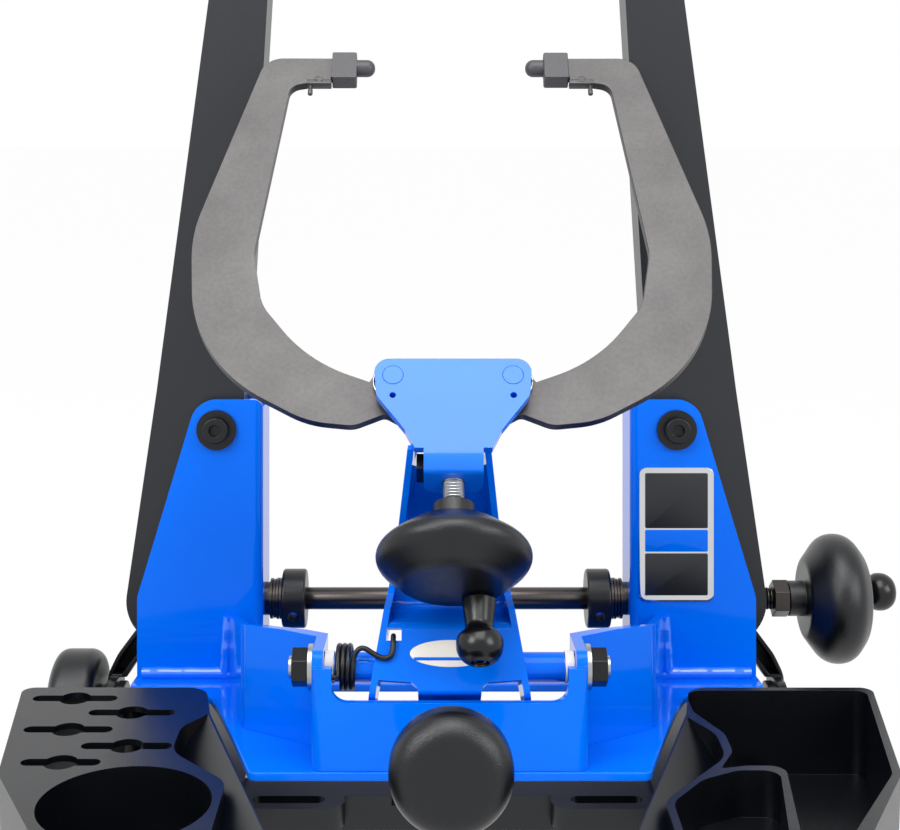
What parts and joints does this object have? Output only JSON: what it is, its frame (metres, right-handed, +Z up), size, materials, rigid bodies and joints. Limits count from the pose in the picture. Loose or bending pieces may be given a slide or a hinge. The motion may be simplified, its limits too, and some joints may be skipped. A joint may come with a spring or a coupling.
{
  "type": "bicycle wheel truing stand",
  "caption": "Bench stand for truing spoked wheels: screw driven uprights, sprung arm with caliper fingers, tilting frame and tray base.",
  "frame": {"origin": "midpoint between the two bench slots, at the plane of the rubber feet", "axes": "+X to the right for the user, +Y away from the user, +Z up"},
  "size_m": [0.4714, 0.3138, 0.4904],
  "materials": {
    "blue_paint": "gloss",
    "black_paint": "satin",
    "black_plastic": "fine grain",
    "grip_plastic": "gloss",
    "bright_steel": "zinc plated",
    "finger_steel": "hardened, dull",
    "dark_steel": "oiled",
    "black_steel": "blackened",
    "brass": "turned",
    "black_rubber": "matt",
    "white_nylon": "matt",
    "plate_chrome": "bright rim"
  },
  "bodies": {
    "base": {"base_frame": "black_paint", "left_tray": "black_plastic", "right_tray": "black_plastic", "base_feet": "black_rubber", "tray_screws": "bright_steel", "tilt_bracket_left": "black_paint", "tilt_bracket_right": "black_paint", "tilt_pivot_bolt": "bright_steel"},
    "tilt_knob": {"tilt_knob": "black_plastic", "tilt_stud": "bright_steel"},
    "frame": {"floor_plate": "blue_paint", "left_tower": "blue_paint", "right_tower": "blue_paint", "cradle": "blue_paint", "upright_pivot_bolts": "black_steel", "pivot_washers": "black_steel", "pivot_nuts": "black_steel", "arm_pivot_rod": "bright_steel", "arm_pivot_nuts": "black_steel", "arm_pivot_washers": "bright_steel", "arm_spacers": "white_nylon", "name_plate": "plate_chrome", "arm_spring": "black_steel", "right_tilt_arm": "black_paint", "left_tilt_arm": "black_paint"},
    "left_upright": {"left_upright": "black_paint", "left_axle_jaw": "bright_steel"},
    "right_upright": {"right_upright": "black_paint", "right_axle_jaw": "bright_steel"},
    "rod": {"width_rod": "dark_steel", "shaft_collars": "black_steel", "collar_set_screws": "bright_steel", "thrust_washers": "dark_steel", "handwheel": "black_plastic", "handwheel_nut": "dark_steel"},
    "left_nut": {"left_trunnion_nut": "brass"},
    "right_nut": {"right_trunnion_nut": "brass"},
    "handwheel_grip": {"handwheel_grip": "grip_plastic"},
    "arm": {"lower_arm": "blue_paint", "arm_pivot_tube": "blue_paint", "head_bracket": "blue_paint", "head_rivets": "blue_paint", "finger_springs": "bright_steel", "caliper_nut": "black_steel"},
    "wedge": {"caliper_wedge": "dark_steel"},
    "caliper_knob": {"caliper_screw": "bright_steel", "caliper_knob": "black_plastic"},
    "caliper_grip": {"caliper_grip": "grip_plastic"},
    "left_finger": {"left_finger": "finger_steel", "left_tip_cap": "black_rubber", "left_follower_pin": "bright_steel"},
    "right_finger": {"right_finger": "finger_steel", "right_tip_cap": "black_rubber", "right_follower_pin": "bright_steel"},
    "pad": {"radial_pad": "white_nylon"},
    "radial_knob": {"radial_screw": "bright_steel", "radial_knob": "black_plastic"}
  },
  "joints": [
    {"name": "frame_tilt", "type": "hinge", "parent": "base", "child": "frame", "pos_m": [0, 0.1016, 0.032], "axis": [-1, 0, 0], "range_deg": [-6, 9]},
    {"name": "tilt_knob_spin", "type": "hinge", "parent": "base", "child": "tilt_knob", "pos_m": [-0.2, 0.1016, 0.032], "axis": [-1, 0, 0], "range_deg": [0, 360]},
    {"name": "width_crank", "type": "hinge", "parent": "frame", "child": "rod", "pos_m": [0, 0.09306, 0.09423], "axis": [-1, 0, 0], "range_deg": [-360, 2880]},
    {"name": "handwheel_grip_spin", "type": "hinge", "parent": "rod", "child": "handwheel_grip", "pos_m": [0.23, 0.10996, 0.09246], "axis": [1, 0, 0], "continuous": true},
    {"name": "left_nut_slide", "type": "slide", "parent": "frame", "child": "left_nut", "axis": [-1, 0, 0], "range_m": [-0.00176, 0.01401]},
    {"name": "right_nut_slide", "type": "slide", "parent": "frame", "child": "right_nut", "axis": [1, 0, 0], "range_m": [-0.00176, 0.01401]},
    {"name": "left_upright_swing", "type": "hinge", "parent": "frame", "child": "left_upright", "pos_m": [-0.1233, 0.10297, 0.18851], "axis": [0, 0.9945, -0.1045], "range_deg": [-1.07, 8.47]},
    {"name": "right_upright_swing", "type": "hinge", "parent": "frame", "child": "right_upright", "pos_m": [0.1233, 0.10297, 0.18851], "axis": [0, 0.9945, -0.1045], "range_deg": [-8.47, 1.07]},
    {"name": "arm_swing", "type": "hinge", "parent": "frame", "child": "arm", "pos_m": [0, -0.06376, 0.11373], "axis": [1, 0, 0], "range_deg": [0, 33.5], "deforming": ["arm_spring"]},
    {"name": "radial_pad_slide", "type": "slide", "parent": "frame", "child": "pad", "axis": [0, 0.9945, -0.1045], "range_m": [0, 0.01501]},
    {"name": "radial_knob_spin", "type": "hinge", "parent": "pad", "child": "radial_knob", "pos_m": [0, -0.13311, 0.09488], "axis": [0, 0.9945, -0.1045], "range_deg": [0, 3600]},
    {"name": "caliper_wedge_slide", "type": "slide", "parent": "arm", "child": "wedge", "axis": [0, 0.6691, 0.7431], "range_m": [0, 0.00433]},
    {"name": "caliper_knob_spin", "type": "hinge", "parent": "wedge", "child": "caliper_knob", "pos_m": [0.0019, -0.07109, 0.1684], "axis": [0, 0.6691, 0.7431], "range_deg": [0, 1035]},
    {"name": "caliper_grip_spin", "type": "hinge", "parent": "caliper_knob", "child": "caliper_grip", "pos_m": [0.0129, -0.07268, 0.14745], "axis": [0, -0.6691, -0.7431], "continuous": true},
    {"name": "left_finger_swing", "type": "hinge", "parent": "arm", "child": "left_finger", "pos_m": [-0.0259, -0.02114, 0.23383], "axis": [0, 0.7771, -0.6293], "range_deg": [0, 11.84]},
    {"name": "right_finger_swing", "type": "hinge", "parent": "arm", "child": "right_finger", "pos_m": [0.0297, -0.02114, 0.23383], "axis": [0, 0.7771, -0.6293], "range_deg": [-11.84, 0]}
  ],
  "couplings": [
    {"joint": "left_nut_slide", "follows": "width_crank", "m_per_rad": 0.0002785},
    {"joint": "right_nut_slide", "follows": "width_crank", "m_per_rad": 0.0002785},
    {"joint": "left_upright_swing", "follows": "width_crank", "ratio": 0.002938},
    {"joint": "right_upright_swing", "follows": "width_crank", "ratio": -0.002938},
    {"joint": "radial_pad_slide", "follows": "radial_knob_spin", "m_per_rad": 0.0002387},
    {"joint": "arm_swing", "follows": "radial_knob_spin", "ratio": 0.009253},
    {"joint": "caliper_wedge_slide", "follows": "caliper_knob_spin", "m_per_rad": 0.0002387},
    {"joint": "left_finger_swing", "follows": "caliper_knob_spin", "ratio": 0.01138},
    {"joint": "right_finger_swing", "follows": "caliper_knob_spin", "ratio": -0.01138}
  ]
}
